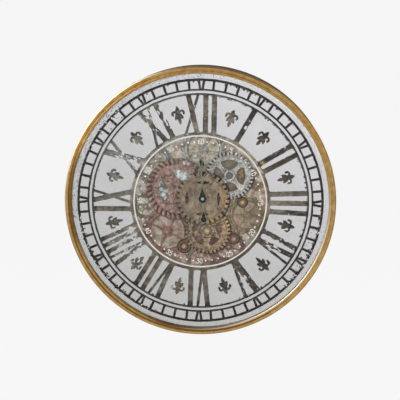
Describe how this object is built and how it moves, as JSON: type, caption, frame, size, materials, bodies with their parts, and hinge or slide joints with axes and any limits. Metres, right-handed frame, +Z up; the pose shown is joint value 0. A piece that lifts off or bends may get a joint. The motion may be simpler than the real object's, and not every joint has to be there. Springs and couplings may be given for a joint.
{
  "type": "wall clock",
  "caption": "Round wall clock with a gold frame, a mirrored Roman numeral ring and turning gears behind its hands.",
  "frame": {"origin": "the dial's centre, on the plane of the wall", "axes": "+Z up, +Y into the wall, the dial faces -Y, +X to the viewer's right"},
  "size_m": [0.6, 0.095, 0.6],
  "materials": {
    "antique_gold": "antiqued gold with dark grooves",
    "clear_glass": "clear float glass",
    "mirror_film": "aged silver mirror with worn edges",
    "white_print": "screen print",
    "black_rubber": "soft rubber",
    "dark_steel": "dark brown paint",
    "zinc_steel": "zinc plated",
    "printed_board": "wood fibre board with a print in beige, brown and red",
    "black_washer": "black",
    "polished_brass": "polished",
    "copper_metal": "aged copper colour",
    "bright_steel": "bright",
    "bronze": "sintered bronze",
    "black_plastic": "moulded",
    "hand_black": "near black with light edges",
    "circuit_green": "circuit board",
    "coil_wire": "enamelled copper wire",
    "cell_wrap": "plain wrap",
    "contact_metal": "nickel plated",
    "white_plastic": "moulded",
    "lead_red": "soft insulation",
    "cover_board": "brown fibre board",
    "gear_gold": "antiqued gold",
    "gear_silver": "antiqued silver",
    "drive_plastic": "moulded acetal"
  },
  "bodies": {
    "case": {"front_frame": "antique_gold", "front_glass": "clear_glass", "mirror_coating": "mirror_film", "dial_print": "white_print", "glass_gasket": "black_rubber", "drum": "dark_steel", "drum_flange": "dark_steel", "frame_screws": "antique_gold", "backdrop_board": "printed_board", "board_brackets": "dark_steel", "board_screws": "zinc_steel", "bolt_washers": "black_washer", "brass_dome_bolts": "polished_brass", "copper_dome_bolts": "copper_metal", "steel_dome_bolt": "bright_steel", "bridge_pillars": "zinc_steel", "bridge_screws": "zinc_steel", "bridge_plate": "zinc_steel", "shaft_bushes": "bronze", "copper_gear": "copper_metal", "movement_case": "black_plastic", "movement_lid": "black_plastic", "movement_washer": "black_rubber", "centre_tube": "polished_brass", "fixing_nut": "polished_brass", "end_nut": "polished_brass", "circuit_board": "circuit_green", "drive_coil": "coil_wire", "movement_cell": "cell_wrap", "movement_contacts": "contact_metal", "drive_motor": "zinc_steel", "motor_screws": "zinc_steel", "battery_box": "black_plastic", "motor_cells": "cell_wrap", "battery_contacts": "contact_metal", "switch_body": "black_plastic", "motor_leads": "lead_red", "back_cover": "cover_board", "cover_screws": "zinc_steel", "hanger_plate": "zinc_steel", "hanger_screws": "zinc_steel", "wall_bumpers": "black_rubber"},
    "minute": {"minute_arbor": "bright_steel", "minute_hand": "hand_black", "hand_cap": "bright_steel"},
    "hour": {"hour_wheel": "white_plastic", "hour_hand": "hand_black"},
    "motion_wheel": {"minute_wheel": "polished_brass"},
    "setting": {"setting_knob": "white_plastic"},
    "middle_gear": {"centre_gear": "gear_gold", "centre_drive_wheel": "drive_plastic"},
    "silver_train": {"silver_gear": "gear_silver", "silver_shaft": "dark_steel", "silver_drive_wheel": "drive_plastic"},
    "lower_train": {"lower_gear": "gear_gold", "lower_shaft": "dark_steel", "lower_drive_wheel": "drive_plastic", "lower_gear_nut": "polished_brass"},
    "pinion": {"motor_pinion": "bright_steel"},
    "slider": {"switch_slider": "white_plastic"}
  },
  "joints": [
    {"name": "minute_spin", "type": "hinge", "parent": "case", "child": "minute", "pos_m": [0.0045, 0, 0.0025], "axis": [0, 1, 0], "continuous": true},
    {"name": "hour_spin", "type": "hinge", "parent": "case", "child": "hour", "pos_m": [0.0045, 0, 0.0025], "axis": [0, 1, 0], "continuous": true},
    {"name": "motion_wheel_spin", "type": "hinge", "parent": "case", "child": "motion_wheel", "pos_m": [0.01016, 0, 0.00816], "axis": [0, 1, 0], "continuous": true},
    {"name": "setting_spin", "type": "hinge", "parent": "case", "child": "setting", "pos_m": [0.01581, 0, 0.01381], "axis": [0, 1, 0], "continuous": true},
    {"name": "gear_spin", "type": "hinge", "parent": "case", "child": "middle_gear", "pos_m": [0.0045, 0, 0.0025], "axis": [0, 1, 0], "continuous": true},
    {"name": "silver_spin", "type": "hinge", "parent": "case", "child": "silver_train", "pos_m": [0.06319, 0, 0.05388], "axis": [0, 1, 0], "continuous": true},
    {"name": "lower_spin", "type": "hinge", "parent": "case", "child": "lower_train", "pos_m": [0.01494, 0, -0.07177], "axis": [0, 1, 0], "continuous": true},
    {"name": "pinion_spin", "type": "hinge", "parent": "case", "child": "pinion", "pos_m": [0.11255, 0, 0.08238], "axis": [0, 1, 0], "continuous": true},
    {"name": "switch_slide", "type": "slide", "parent": "case", "child": "slider", "axis": [1, 0, 0], "range_m": [0, 0.004]}
  ],
  "couplings": [
    {"joint": "hour_spin", "follows": "minute_spin", "ratio": 0.083333},
    {"joint": "motion_wheel_spin", "follows": "minute_spin", "ratio": -0.33333},
    {"joint": "setting_spin", "follows": "minute_spin", "ratio": 1},
    {"joint": "silver_spin", "follows": "gear_spin", "ratio": -0.625},
    {"joint": "lower_spin", "follows": "gear_spin", "ratio": -0.66667},
    {"joint": "pinion_spin", "follows": "gear_spin", "ratio": 3.3333}
  ]
}
